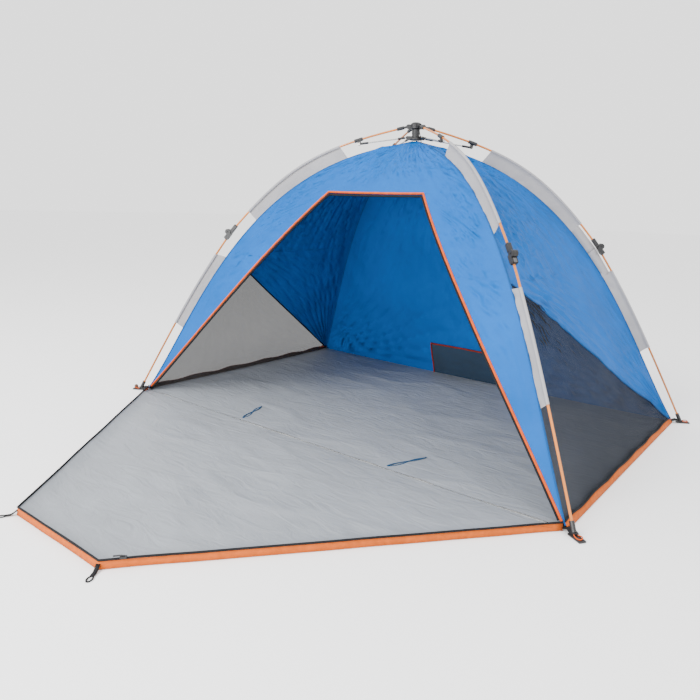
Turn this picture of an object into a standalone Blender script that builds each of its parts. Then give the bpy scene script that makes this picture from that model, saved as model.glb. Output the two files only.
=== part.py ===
"""Beach shelter with a fold-up umbrella frame: four two-piece poles, a crown, a sliding runner and a fabric canopy.

Metres, +Z up. The origin is on the ground under the crown, at the middle of the underside of the floor sheet.
The doorway faces -Y. Every leg is built in its own plane, with x outward from the crown and z up, and is then
turned about Z to its corner. Moving pieces hang from an empty that stands on their joint's axis.
"""

import math

import bmesh
import bpy
from mathutils import Matrix, Vector

# Driving dimensions
BASE_WIDTH = 2.10
BASE_DEPTH = 1.36
PORCH_DEPTH = 1.02
PORCH_FRONT_WIDTH = 0.44
DOOR_TOP_WIDTH = 0.48
DOOR_TOP_HEIGHT = 0.984
MESH_SEAM_HEIGHT = 0.69
WINDOW_WIDTH = 0.43
WINDOW_HEIGHT = 0.185
POLE_RADIUS = 0.0043
CLOTH = 0.0016
GAP = 0.0004

# Corner of the base, seen from the crown: the four legs stand in the planes of the two diagonals
CORNER_RADIUS = math.hypot(BASE_WIDTH, BASE_DEPTH) / 2
ALONG_X = BASE_WIDTH / 2 / CORNER_RADIUS
ALONG_Y = BASE_DEPTH / 2 / CORNER_RADIUS
LEG_ANGLE = math.atan2(BASE_DEPTH, BASE_WIDTH)
LEGS = {
    "front_right": -LEG_ANGLE,
    "back_right": LEG_ANGLE,
    "back_left": math.pi - LEG_ANGLE,
    "front_left": math.pi + LEG_ANGLE,
}

# Points in a leg's plane, (outward, up): cubic curves of the bent poles and of the canopy's corner seam
CROWN_PIVOT = (0.034, 1.269)
UPPER_CURVE = (CROWN_PIVOT, (0.426, 1.170), (0.569, 1.090), (0.826, 0.786))
LOWER_CURVE = ((0.826, 0.786), (0.972, 0.581), (1.074, 0.406), (1.285, 0.012))
SEAM_CURVE = ((0.0, 1.200), (0.766, 1.116), (0.996, 0.382), (CORNER_RADIUS, 0.0055))
UPPER_SPAN = (0.0208, 0.990)
LOWER_SPAN = (0.0405, 0.990)
RUNNER_PIVOT = (0.036, 1.222)
BRACKET_PIVOT = (0.245, 1.190)

# Frame of the knee: its pivot is a lug on the outer side of the pole
KNEE_CENTRE = (0.826, 0.786)
KNEE_SLOPE = math.radians(52.2)
KNEE_OFFSET = 0.0125
KNEE_BELOW_CENTRE = 0.007
KNEE_TOP = 0.0475
KNEE_BOTTOM = -0.0345
KNEE_SOCKET_TOP = -0.0225
KNEE_HALF = 0.0085
LUG_RADIUS = 0.0125
TONGUE_HALF = 0.0055
EAR_INNER = 0.0065
EAR_OUTER = 0.0115
RIVET_RADIUS = 0.0040
RIVET_BORE = 0.0021

# The brace struts run beside the poles, clear of them while the frame folds
STRUT_SIDE = 0.0135
STRUT_RADIUS = 0.0026

ROUND_SIDES = 16
SMALL_SIDES = 12

COLOURS = {
    "blue": ((0.07, 0.27, 0.66), 0.62, 0.0),
    "mesh": ((0.06, 0.065, 0.075), 0.85, 0.0),
    "grey_cloth": ((0.58, 0.57, 0.60), 0.75, 0.0),
    "ground_sheet": ((0.42, 0.43, 0.45), 0.5, 0.0),
    "orange_tape": ((0.83, 0.21, 0.05), 0.7, 0.0),
    "pole": ((0.85, 0.33, 0.08), 0.35, 0.0),
    "black_plastic": ((0.018, 0.018, 0.02), 0.42, 0.0),
    "grey_plastic": ((0.30, 0.31, 0.32), 0.45, 0.0),
    "strut_metal": ((0.62, 0.60, 0.52), 0.3, 0.8),
    "webbing": ((0.02, 0.02, 0.022), 0.85, 0.0),
}


def clear_scene():
    for old in list(bpy.data.objects):
        bpy.data.objects.remove(old)


def new_collection(name):
    collection = bpy.data.collections.new(name)
    bpy.context.scene.collection.children.link(collection)
    return collection


clear_scene()
PARTS = new_collection("beach_shelter")
CUTTERS = new_collection("cutters")
MATERIALS = {}


def material(name):
    """The Principled material of that name, made on first use."""
    if name not in MATERIALS:
        colour, roughness, metallic = COLOURS[name]
        made = bpy.data.materials.new(name)
        made.use_nodes = True
        shader = made.node_tree.nodes["Principled BSDF"]
        shader.inputs["Base Color"].default_value = (*colour, 1)
        shader.inputs["Roughness"].default_value = roughness
        shader.inputs["Metallic"].default_value = metallic
        MATERIALS[name] = made
    return MATERIALS[name]


# Curves in a leg's plane


def bezier(points, t):
    """The point of a cubic curve at t, from 0 to 1."""
    weights = ((1 - t) ** 3, 3 * (1 - t) ** 2 * t, 3 * (1 - t) * t**2, t**3)
    return tuple(sum(w * p[k] for w, p in zip(weights, points)) for k in (0, 1))


def slope_of(points, t):
    """Unit direction of a cubic curve at t, (outward, up)."""
    before = bezier(points, t - 0.001)
    after = bezier(points, t + 0.001)
    step = Vector((after[0] - before[0], after[1] - before[1]))
    return step.normalized()


def beside(points, t, offset):
    """A point offset from the curve, positive on its outer, upper side."""
    at = bezier(points, t)
    along = slope_of(points, t)
    return (at[0] - along.y * offset, at[1] + along.x * offset)


def parameter_at(points, axis, value):
    """Where the curve reaches that outward (axis 0) or upward (axis 1) value, by halving."""
    low, high = 0.0, 1.0
    rising = bezier(points, 1)[axis] > bezier(points, 0)[axis]
    for _ in range(40):
        middle = (low + high) / 2
        if (bezier(points, middle)[axis] < value) == rising:
            low = middle
        else:
            high = middle
    return (low + high) / 2


def spread(low, high, count):
    """count + 1 values from low to high."""
    return [low + (high - low) * k / count for k in range(count + 1)]


# Solids. Each returns a mesh in the coordinates it was drawn in


def mesh_from(obj):
    """The evaluated, welded mesh of a helper object, which is then removed."""
    bpy.context.view_layer.update()
    evaluated = obj.evaluated_get(bpy.context.evaluated_depsgraph_get())
    mesh = bpy.data.meshes.new_from_object(evaluated)
    mesh.transform(obj.matrix_world)
    bm = bmesh.new()
    bm.from_mesh(mesh)
    bmesh.ops.remove_doubles(bm, verts=bm.verts, dist=1e-6)
    bmesh.ops.recalc_face_normals(bm, faces=bm.faces)
    bm.to_mesh(mesh)
    bm.free()
    mesh.materials.clear()
    bpy.data.objects.remove(obj)
    return mesh


def helper(name, data):
    obj = bpy.data.objects.new(name, data)
    CUTTERS.objects.link(obj)
    obj.hide_render = True
    obj.display_type = "WIRE"
    return obj


def tube(points, radius, bevel_resolution=2):
    """A round rod along the points, with closed ends."""
    curve = bpy.data.curves.new("rod", "CURVE")
    curve.dimensions = "3D"
    curve.bevel_depth = radius
    curve.bevel_resolution = bevel_resolution
    curve.use_fill_caps = True
    spline = curve.splines.new("POLY")
    spline.points.add(len(points) - 1)
    for point, at in zip(spline.points, points):
        point.co = (*at, 1)
    return mesh_from(helper("rod", curve))


def plate(outlines, thickness, middle=0.0):
    """A flat plate in the leg's plane: closed outlines of (outward, up) points, the first one round the others.

    Its thickness lies across the plane, about middle.
    """
    curve = bpy.data.curves.new("plate", "CURVE")
    curve.dimensions = "2D"
    curve.fill_mode = "BOTH"
    curve.extrude = thickness / 2
    for outline in outlines:
        spline = curve.splines.new("POLY")
        spline.points.add(len(outline) - 1)
        for point, at in zip(spline.points, outline):
            point.co = (at[0], at[1], 0, 1)
        spline.use_cyclic_u = True
    obj = helper("plate", curve)
    obj.matrix_world = Matrix.Translation((0, middle, 0)) @ Matrix.Rotation(math.pi / 2, 4, "X")
    return mesh_from(obj)


def turned(profile, steps=ROUND_SIDES):
    """A solid of revolution about Z: (radius, height) points that run down the outer side, top to bottom."""
    mesh = bpy.data.meshes.new("profile")
    points = [(radius, 0, height) for radius, height in profile]
    mesh.from_pydata(points, [(k, k + 1) for k in range(len(points) - 1)], [])
    obj = helper("turned", mesh)
    screw = obj.modifiers.new("screw", "SCREW")
    screw.steps = steps
    screw.render_steps = steps
    screw.use_merge_vertices = True
    screw.merge_threshold = 0.00001
    return mesh_from(obj)


def block(size, centre, bevel=0.0):
    """A box, with its edges rounded by bevel."""
    mesh = bpy.data.meshes.new("block")
    bm = bmesh.new()
    bmesh.ops.create_cube(bm, size=1)
    bmesh.ops.scale(bm, vec=size, verts=bm.verts)
    bmesh.ops.translate(bm, vec=centre, verts=bm.verts)
    bm.to_mesh(mesh)
    bm.free()
    obj = helper("block", mesh)
    if bevel:
        rounding = obj.modifiers.new("rounding", "BEVEL")
        rounding.width = bevel
        rounding.segments = 2
    return mesh_from(obj)


def drum(radius, start, end, sides=SMALL_SIDES):
    """A cylinder between two points."""
    axis = Vector(end) - Vector(start)
    mesh = bpy.data.meshes.new("drum")
    bm = bmesh.new()
    bmesh.ops.create_cone(
        bm, cap_ends=True, segments=sides, radius1=radius, radius2=radius, depth=axis.length
    )
    turn = axis.to_track_quat("Z", "Y").to_matrix().to_4x4()
    middle = (Vector(start) + Vector(end)) / 2
    bm.transform(Matrix.Translation(middle) @ turn)
    bm.to_mesh(mesh)
    bm.free()
    return mesh


def combine(base, others, operation="UNION"):
    """The base mesh with the others joined to it, or cut from it."""
    obj = helper("base", base)
    for other in others:
        tool = helper("tool", other)
        step = obj.modifiers.new("step", "BOOLEAN")
        step.operation = operation
        step.solver = "EXACT"
        step.object = tool
    mesh = mesh_from(obj)
    for tool in [o for o in CUTTERS.objects if o.name.startswith("tool")]:
        bpy.data.objects.remove(tool)
    return mesh


def placed(mesh, matrix):
    mesh.transform(matrix)
    return mesh


# Objects


def new_object(name, mesh, finish, parent=None, smooth=False):
    """A named part of the shelter. The mesh is in its parent's coordinates, and the parent is an empty or nothing."""
    obj = bpy.data.objects.new(name, mesh)
    PARTS.objects.link(obj)
    obj.parent = parent
    if not mesh.materials:
        mesh.materials.append(material(finish))
    if smooth:
        mesh.shade_smooth()
        mesh.set_sharp_from_angle(angle=math.radians(35))
    return obj


def new_empty(name, parent=None, at=(0, 0, 0), turn=0.0):
    empty = bpy.data.objects.new(name, None)
    PARTS.objects.link(empty)
    empty.parent = parent
    empty.location = at
    empty.rotation_euler = (0, 0, turn)
    empty.empty_display_size = 0.05
    return empty


def on_every_leg(kind, mesh, finish, pivots, at, smooth=False):
    """Four objects that share a mesh drawn in a leg's plane, each under that leg's pivot, which stands at at."""
    mesh.transform(Matrix.Translation((-at[0], 0, -at[1])))
    for leg in LEGS:
        new_object(f"{kind}_{leg}", mesh, finish, pivots[leg], smooth)


# Frame


def knee_point(outward, up):
    """From the knee's own axes, about its pivot, to the leg's plane."""
    along = Vector((math.cos(KNEE_SLOPE), -math.sin(KNEE_SLOPE)))
    out = Vector((math.sin(KNEE_SLOPE), math.cos(KNEE_SLOPE)))
    pivot = Vector(KNEE_CENTRE) + out * KNEE_OFFSET + along * KNEE_BELOW_CENTRE
    return tuple(pivot + out * (outward - KNEE_OFFSET) - along * up)


KNEE_PIVOT = knee_point(KNEE_OFFSET, 0)


def knee_matrix():
    """Places a mesh drawn with x outward from the pole's axis and z up along the pole, about the knee's pivot."""
    level = knee_point(0, 0)
    return Matrix.Translation((level[0], 0, level[1])) @ Matrix.Rotation(KNEE_SLOPE - math.pi / 2, 4, "Y")


def arc(centre, radius, first, last, count):
    """Points of an arc, angles in degrees from the first axis."""
    return [
        (
            centre[0] + radius * math.cos(math.radians(angle)),
            centre[1] + radius * math.sin(math.radians(angle)),
        )
        for angle in spread(first, last, count)
    ]


def make_crown_hub():
    """Cap, sleeve with a blind bore for the runner's stud, and a pair of ears for each pole."""
    top = CROWN_PIVOT[1]
    body = turned(
        [
            (0, top + 0.018),
            (0.014, top + 0.018),
            (0.021, top + 0.014),
            (0.025, top + 0.008),
            (0.025, top - 0.008),
            (0.0175, top - 0.012),
            (0.0175, top - 0.030),
            (0.0095, top - 0.030),
            (0.0095, top - 0.004),
            (0, top - 0.004),
        ]
    )
    ears = []
    lug = arc(CROWN_PIVOT, 0.009, -90, 90, 6) + [(0.018, top + 0.009), (0.018, top - 0.009)]
    for angle in LEGS.values():
        for side in (-1, 1):
            ear = plate([lug], 0.0035, side * 0.0078)
            ears.append(placed(ear, Matrix.Rotation(angle, 4, "Z")))
    hub = combine(body, ears)
    new_object("crown_hub", hub, "black_plastic", smooth=True)


def make_runner_hub(pivot):
    """Flange, collar and stud that slide under the crown, with a pair of ears for each strut."""
    level = RUNNER_PIVOT[1]
    top = CROWN_PIVOT[1] - 0.030
    body = turned(
        [
            (0, top + 0.020),
            (0.0065, top + 0.020),
            (0.0085, top + 0.017),
            (0.0085, top - GAP),
            (0.0165, top - GAP),
            (0.0165, level + 0.001),
            (0.029, level - 0.001),
            (0.029, level - 0.008),
            (0.020, level - 0.010),
            (0, level - 0.010),
        ]
    )
    ears = []
    root = RUNNER_PIVOT[0] - 0.020
    lug = arc(RUNNER_PIVOT, 0.0065, -90, 90, 6) + [(root, level + 0.0065), (root, level - 0.0065)]
    for angle in LEGS.values():
        for side in (-1, 1):
            ear = plate([lug], 0.0022, STRUT_SIDE + side * 0.0051)
            ears.append(placed(ear, Matrix.Rotation(angle, 4, "Z")))
    hub = combine(body, ears)
    hub.transform(Matrix.Translation((0, 0, -level)))
    new_object("runner_hub", hub, "black_plastic", pivot, smooth=True)


def pole_bore(curve, first, last):
    """The space a pole fills between two parameters of its curve, with a gap round it."""
    return tube([(x, 0, z) for x, z in (bezier(curve, t) for t in spread(first, last, 8))], POLE_RADIUS + GAP)


def make_crown_levers(pivots):
    """Moulded sockets that hold the poles' inner ends and turn between the crown's ears."""
    direction = slope_of(UPPER_CURVE, 0.01)
    socket = turned(
        [(0, 0.050), (0.0062, 0.050), (0.0075, 0.046), (0.0075, 0.020), (0.0055, 0.017), (0, 0.017)]
    )
    tongue = block((0.009, 0.0105, 0.028), (0, 0, 0.0105), 0.0015)
    lever = combine(socket, [tongue])
    lever.transform(Matrix.Rotation(math.pi / 2 - math.atan2(direction.y, direction.x), 4, "Y"))
    lever.transform(Matrix.Translation((CROWN_PIVOT[0], 0, CROWN_PIVOT[1])))
    lever = combine(lever, [pole_bore(UPPER_CURVE, UPPER_SPAN[0] - 0.0005, 0.06)], "DIFFERENCE")
    on_every_leg("crown_lever", lever, "black_plastic", pivots, CROWN_PIVOT, smooth=True)


def make_poles(upper_pivots, lower_pivots):
    """The bent fibreglass rods, from the lever's socket to the knee and from the knee to the foot."""
    for kind, curve, span, pivots, at, bends in (
        ("upper_pole", UPPER_CURVE, UPPER_SPAN, upper_pivots, CROWN_PIVOT, 22),
        ("lower_pole", LOWER_CURVE, LOWER_SPAN, lower_pivots, KNEE_PIVOT, 16),
    ):
        rod = tube([(x, 0, z) for x, z in (bezier(curve, t) for t in spread(*span, bends))], POLE_RADIUS)
        on_every_leg(kind, rod, "pole", pivots, at, smooth=True)


def make_strut_brackets(pivots):
    """Clamps on the upper poles, each with a lug beside which a strut ends."""
    t = parameter_at(UPPER_CURVE, 0, BRACKET_PIVOT[0] + 0.004)
    at = bezier(UPPER_CURVE, t)
    along = slope_of(UPPER_CURVE, t)
    reach = 0.019
    ends = [(at[0] + along.x * k, 0, at[1] + along.y * k) for k in (-reach, reach)]
    clamp = drum(0.0078, *ends)
    ring = arc(BRACKET_PIVOT, 0.0065, -190, 10, 8) + [(at[0] + 0.007, at[1]), (at[0] - 0.011, at[1])]
    hole = arc(BRACKET_PIVOT, 0.0024, 0, 315, 7)
    lug = plate([ring, hole], 0.0065, 0.0035)
    bracket = combine(combine(clamp, [lug]), [pole_bore(UPPER_CURVE, t - 0.04, t + 0.04)], "DIFFERENCE")
    on_every_leg("strut_bracket", bracket, "black_plastic", pivots, CROWN_PIVOT, smooth=True)


def make_struts(pivots):
    """Thin rods with moulded ends, from the runner's ears to beside the brackets' lugs."""
    inner = Vector((RUNNER_PIVOT[0], STRUT_SIDE, RUNNER_PIVOT[1]))
    outer = Vector((BRACKET_PIVOT[0], STRUT_SIDE, BRACKET_PIVOT[1]))
    along = (outer - inner).normalized()
    rod = drum(STRUT_RADIUS, inner + along * 0.012, outer - along * 0.012)
    sleeves = [
        drum(0.0040, inner + along * 0.009, inner + along * 0.040),
        drum(0.0040, outer - along * 0.040, outer - along * 0.005),
        drum(0.0060, inner - Vector((0, 0.0036, 0)), inner + Vector((0, 0.0036, 0))),
        drum(0.0060, outer - Vector((0, 0.0036, 0)), outer + Vector((0, 0.0036, 0))),
    ]
    neck = drum(0.0030, inner, inner + along * 0.012)
    strut = combine(rod, [*sleeves, neck])
    on_every_leg("brace_strut", strut, "strut_metal", pivots, RUNNER_PIVOT, smooth=True)


def knee_outline(top, bottom, outer, lug_start):
    """Side view of a knuckle, about the pole's axis: a bar with a round lug on its outer side, about the pivot."""
    lug = arc((KNEE_OFFSET, 0), LUG_RADIUS, lug_start, 125, 10)
    foot = [(-KNEE_HALF, top), (-KNEE_HALF, bottom + 0.004), (0.004 - KNEE_HALF, bottom), (outer, bottom)]
    return foot + lug + [(0.004 - KNEE_HALF, top)]


def make_knees(upper_pivots, lower_pivots):
    """The folding knee: a socket with a tongue above, and a clevis with a hollow rivet and a socket below."""
    rivet_hole = arc((KNEE_OFFSET, 0), RIVET_RADIUS + GAP, 0, 330, 11)
    tongue = plate([knee_outline(0.020, -0.0205, 0.002, -125), rivet_hole], 2 * TONGUE_HALF)
    length = KNEE_TOP - 0.0145
    socket = block((2 * KNEE_HALF, 2 * KNEE_HALF, length), (0, 0, KNEE_TOP - length / 2), 0.0025)
    upper = placed(combine(socket, [tongue]), knee_matrix())
    upper = combine(upper, [pole_bore(UPPER_CURVE, 0.94, UPPER_SPAN[1] + 0.001)], "DIFFERENCE")
    on_every_leg("knee_upper", upper, "black_plastic", upper_pivots, CROWN_PIVOT, smooth=True)

    ears = [
        plate(
            [knee_outline(0.001, KNEE_BOTTOM + 0.002, 0.010, -100)],
            EAR_OUTER - EAR_INNER,
            side * (EAR_OUTER + EAR_INNER) / 2,
        )
        for side in (-1, 1)
    ]
    height = KNEE_SOCKET_TOP - KNEE_BOTTOM
    socket = block(
        (KNEE_HALF + 0.0043, 2 * EAR_OUTER - 0.002, height),
        ((0.0057 - KNEE_HALF) / 2, 0, KNEE_BOTTOM + height / 2),
        0.0015,
    )
    reach = EAR_OUTER + 0.0010
    rivet = drum(RIVET_RADIUS, (KNEE_OFFSET, -reach, 0), (KNEE_OFFSET, reach, 0))
    rivet_bore = drum(RIVET_BORE, (KNEE_OFFSET, -0.03, 0), (KNEE_OFFSET, 0.03, 0))
    bore = placed(pole_bore(LOWER_CURVE, 0.030, 0.090), knee_matrix().inverted())
    socket = combine(socket, [bore], "DIFFERENCE")
    lower = combine(combine(socket, [*ears, rivet]), [rivet_bore], "DIFFERENCE")
    lower.transform(knee_matrix())
    on_every_leg("knee_lower", lower, "black_plastic", lower_pivots, KNEE_PIVOT, smooth=True)

    lock = placed(block((0.0040, 0.0116, 0.0175), (0.0105, 0, -0.0242), 0.0010), knee_matrix())
    on_every_leg("knee_lock", lock, "grey_plastic", lower_pivots, KNEE_PIVOT)


def make_feet(pivots):
    """End caps on the lower poles, each with a flat toe that stands on the ground and has a peg hole."""
    end = Vector(bezier(LOWER_CURVE, 1))
    along = slope_of(LOWER_CURVE, 0.99)
    inner = end - along * 0.034
    cap = drum(0.0080, (inner.x, 0, inner.y), (end.x - along.x * 0.001, 0, end.y - along.y * 0.001))
    toe = block((0.056, 0.024, 0.006), (end.x + 0.014, 0, 0.003), 0.0015)
    heel = block((0.022, 0.018, 0.012), (end.x - 0.002, 0, 0.008), 0.002)
    cuts = [
        pole_bore(LOWER_CURVE, 0.94, LOWER_SPAN[1] + 0.001),
        drum(0.0040, (end.x + 0.030, 0, -0.01), (end.x + 0.030, 0, 0.02)),
    ]
    foot = combine(combine(cap, [toe, heel]), cuts, "DIFFERENCE")
    on_every_leg("foot", foot, "black_plastic", pivots, KNEE_PIVOT, smooth=True)


def make_sleeves(upper_pivots, lower_pivots):
    """Cloth strips between the canopy's corner seam and the poles, one above and one below each knee."""
    for kind, curve, span, pivots, at in (
        ("upper_sleeve", UPPER_CURVE, (0.332, 0.742), upper_pivots, CROWN_PIVOT),
        ("lower_sleeve", LOWER_CURVE, (0.898, 1.102), lower_pivots, KNEE_PIVOT),
    ):
        first, last = (parameter_at(curve, 0, outward) for outward in span)
        on_pole = [beside(curve, t, -POLE_RADIUS - GAP) for t in spread(first, last, 10)]
        start, stop = (parameter_at(SEAM_CURVE, 0, outward - 0.026) for outward in span)
        on_seam = [beside(SEAM_CURVE, t, 0.003) for t in spread(start, stop, 10)]
        strip = plate([on_pole + on_seam[::-1]], 0.0012)
        on_every_leg(kind, strip, "grey_cloth", pivots, at)


# Canopy


def canopy_point(side, across, t):
    """A point of a canopy panel: across from -1 to 1 between its two corner seams, t down the seam."""
    radius, height = bezier(SEAM_CURVE, t)
    x, y = ALONG_X * radius, ALONG_Y * radius
    return {
        "back": (across * x, y, height),
        "front": (across * x, -y, height),
        "right": (x, across * y, height),
        "left": (-x, across * y, height),
    }[side]


def half_width(side, t):
    """Half the level width of a panel at t."""
    radius = bezier(SEAM_CURVE, t)[0]
    return radius * (ALONG_X if side in ("back", "front") else ALONG_Y)


def cloth_panel(name, side, rows, finish, keep=lambda row, column: True):
    """A panel of cloth from rows of (t, [across, ...]), thickened to a solid. keep says which cells are cloth."""
    bm = bmesh.new()
    grid = [[bm.verts.new(canopy_point(side, a, t)) for a in columns] for t, columns in rows]
    for i in range(len(rows) - 1):
        for j in range(len(rows[0][1]) - 1):
            if keep(i, j):
                bm.faces.new((grid[i][j], grid[i][j + 1], grid[i + 1][j + 1], grid[i + 1][j]))
    loose = [v for v in bm.verts if not v.link_faces]
    bmesh.ops.delete(bm, geom=loose, context="VERTS")
    bmesh.ops.recalc_face_normals(bm, faces=bm.faces)
    mesh = bpy.data.meshes.new(name)
    bm.to_mesh(mesh)
    bm.free()
    obj = new_object(name, mesh, finish)
    shell = obj.modifiers.new("cloth", "SOLIDIFY")
    shell.thickness = CLOTH
    shell.offset = 0
    return obj


SEAM_INSET = 0.003
PIPING_RADIUS = 0.0035
PIPING_CLEARANCE = PIPING_RADIUS + 0.0018
TOP_OF_CLOTH = 0.006
BOTTOM_OF_CLOTH = 1.0


def edge_across(side, t):
    """How far across a panel its cloth reaches, just short of the corner seam."""
    return 1 - SEAM_INSET / half_width(side, t)


def door_half_width(height):
    """Half the doorway's width at a height: it widens in a straight line from its top to the base's corners."""
    share = (DOOR_TOP_HEIGHT - height) / DOOR_TOP_HEIGHT
    return DOOR_TOP_WIDTH / 2 + share * (BASE_WIDTH - DOOR_TOP_WIDTH) / 2


def panel_with_gap(name, side, finish, gap_top, gap_half, last, side_columns, middle_columns):
    """A panel with a gap that is open at the bottom: gap_half(height) is half its width, under the height gap_top."""
    t_gap = parameter_at(SEAM_CURVE, 1, gap_top)
    above = spread(TOP_OF_CLOTH, t_gap, 8)
    below = spread(t_gap, last, 10)[1:]
    rows = []
    for t in above + below:
        height = min(bezier(SEAM_CURVE, t)[1], gap_top)
        edge = edge_across(side, t)
        inner = min(gap_half(height) / half_width(side, max(t, t_gap)), edge - 0.002)
        left = spread(-edge, -inner, side_columns)
        middle = spread(-inner, inner, middle_columns)[1:-1]
        rows.append((t, left + middle + [-a for a in left[::-1]]))
    first_open = len(above) - 1
    low, high = side_columns, side_columns + middle_columns
    cloth_panel(name, side, rows, finish, lambda i, j: i < first_open or not low <= j < high)


def make_front_panel():
    narrow = parameter_at(SEAM_CURVE, 1, 0.040)
    panel_with_gap(
        "front_panel",
        "front",
        "blue",
        DOOR_TOP_HEIGHT + PIPING_CLEARANCE,
        lambda height: door_half_width(height) + PIPING_CLEARANCE,
        narrow,
        3,
        4,
    )


def make_back_panel():
    top = WINDOW_HEIGHT + 0.004
    panel_with_gap(
        "back_panel", "back", "blue", top, lambda height: WINDOW_WIDTH / 2 + 0.002, BOTTOM_OF_CLOTH, 4, 4
    )


def make_vent_window():
    first = parameter_at(SEAM_CURVE, 1, WINDOW_HEIGHT)
    rows = []
    for t in spread(first, BOTTOM_OF_CLOTH, 3):
        edge = (WINDOW_WIDTH / 2) / half_width("back", t)
        rows.append((t, spread(-edge, edge, 3)))
    cloth_panel("vent_window", "back", rows, "mesh")


def diagonal_across(t):
    """Where the seam between cloth and mesh crosses a side panel: straight, from the front seam to the back corner."""
    height = bezier(SEAM_CURVE, t)[1]
    t_start = parameter_at(SEAM_CURVE, 1, MESH_SEAM_HEIGHT)
    front = -half_width("right", t_start)
    back = half_width("right", 1)
    low = bezier(SEAM_CURVE, 1)[1]
    share = (MESH_SEAM_HEIGHT - height) / (MESH_SEAM_HEIGHT - low)
    return (front + share * (back - front)) / half_width("right", t)


def make_side_panels():
    """Each side is cloth above and behind a straight diagonal seam, and see-through mesh below and before it."""
    t_start = parameter_at(SEAM_CURVE, 1, MESH_SEAM_HEIGHT)
    clearance = 0.0022
    for side in ("left", "right"):
        rows = [
            (t, spread(-edge_across(side, t), edge_across(side, t), 6))
            for t in spread(TOP_OF_CLOTH, t_start, 7)
        ]
        for t in spread(t_start, 0.985, 9)[1:]:
            seam = diagonal_across(t) + clearance / half_width(side, t)
            rows.append((t, spread(seam, edge_across(side, t), 6)))
        cloth_panel(f"{side}_wall", side, rows, "blue")
        rows = []
        for t in spread(t_start + 0.014, BOTTOM_OF_CLOTH, 9):
            seam = min(diagonal_across(t) - clearance / half_width(side, t), edge_across(side, t))
            rows.append((t, spread(-edge_across(side, t), seam, 6)))
        cloth_panel(f"{side}_mesh", side, rows, "mesh")


def make_door_piping():
    """Corded edge of the doorway: up one side, over the top and down the other."""
    t_top = parameter_at(SEAM_CURVE, 1, DOOR_TOP_HEIGHT)
    rise = []
    for t in spread(0.975, t_top, 14):
        radius, height = bezier(SEAM_CURVE, t)
        rise.append((-door_half_width(height), -ALONG_Y * radius, height))
    route = rise + [(-x, y, z) for x, y, z in rise[::-1]]
    new_object("door_piping", tube(route, PIPING_RADIUS), "orange_tape", smooth=True)


# Ground sheets


def ground_plate(outlines, low, high):
    """A flat plate on or near the ground, from outlines of (x, y) points."""
    curve = bpy.data.curves.new("sheet", "CURVE")
    curve.dimensions = "2D"
    curve.fill_mode = "BOTH"
    curve.extrude = (high - low) / 2
    for outline in outlines:
        spline = curve.splines.new("POLY")
        spline.points.add(len(outline) - 1)
        for point, at in zip(spline.points, outline):
            point.co = (at[0], at[1], 0, 1)
        spline.use_cyclic_u = True
    obj = helper("sheet", curve)
    obj.location = (0, 0, (low + high) / 2)
    return mesh_from(obj)


SHEET = 0.002
SILL = -BASE_DEPTH / 2
SILL_GAP = 0.003
PORCH_FRONT = SILL - PORCH_DEPTH
PORCH_HINGE = (0, SILL - SILL_GAP / 2, 0.002)
RIM_INSET = 0.0055
RIM_THICKNESS = 0.003
RIM_TOP = 0.025

# A peg loop's strap, and the eye in it, along and across
PEG_LOOP = [(0.001, -0.009), (0.050, -0.009), (0.054, -0.005), (0.054, 0.005), (0.050, 0.009), (0.001, 0.009)]
PEG_LOOP_EYE = [(0.028, -0.004), (0.028, 0.004), (0.048, 0.004), (0.048, -0.004)]
PEG_LOOP_SPLAY = 32
WEBBING = 0.0016


def porch_outline(inset):
    """The porch's trapezoid, drawn in by inset from its front and slanted edges."""
    back = SILL - SILL_GAP
    front = PORCH_FRONT + inset
    run = Vector(((BASE_WIDTH - PORCH_FRONT_WIDTH) / 2, back - PORCH_FRONT))
    sideways = inset * run.length / run.y
    slope = run.x / run.y
    half_back = BASE_WIDTH / 2 - sideways - 0.004
    half_front = PORCH_FRONT_WIDTH / 2 + (front - PORCH_FRONT) * slope - sideways
    return [(-half_back, back), (-half_front, front), (half_front, front), (half_back, back)]


def make_floor_sheet():
    half_x, half_y = BASE_WIDTH / 2, BASE_DEPTH / 2
    outline = [(-half_x, -half_y), (half_x, -half_y), (half_x, half_y), (-half_x, half_y)]
    new_object("floor_sheet", ground_plate([outline], 0, SHEET), "ground_sheet")


def under(pivot, mesh):
    """The mesh moved into the pivot's coordinates."""
    mesh.transform(Matrix.Translation(-pivot.location))
    return mesh


def make_porch(pivot):
    """The flap in front of the doorway, with a raised zipped rim, that turns up about the sill to close it."""
    outer = porch_outline(0)
    new_object("porch_sheet", under(pivot, ground_plate([outer], 0, SHEET)), "ground_sheet", pivot)
    band = [*porch_outline(RIM_INSET - RIM_THICKNESS / 2), *porch_outline(RIM_INSET + RIM_THICKNESS / 2)[::-1]]
    rim = ground_plate([band], SHEET + GAP, RIM_TOP)
    new_object("porch_zip_band", under(pivot, rim), "orange_tape", pivot)
    for side, name in ((-1, "left"), (1, "right")):
        corner = Vector((side * (PORCH_FRONT_WIDTH / 2 + 0.001), PORCH_FRONT - 0.001, 0))
        turn = Matrix.Rotation(math.radians(side * PEG_LOOP_SPLAY - 90), 4, "Z")
        ring = ground_plate([PEG_LOOP, PEG_LOOP_EYE], 0, WEBBING)
        ring.transform(Matrix.Translation(corner) @ turn)
        new_object(f"peg_loop_{name}", under(pivot, ring), "webbing", pivot)


def zip_direction():
    """Unit direction of the porch's right-hand edge, from the front corner to the sill."""
    outer = porch_outline(0)
    return (Vector(outer[3]) - Vector(outer[2])).normalized()


ZIP_START = 0.06


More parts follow.
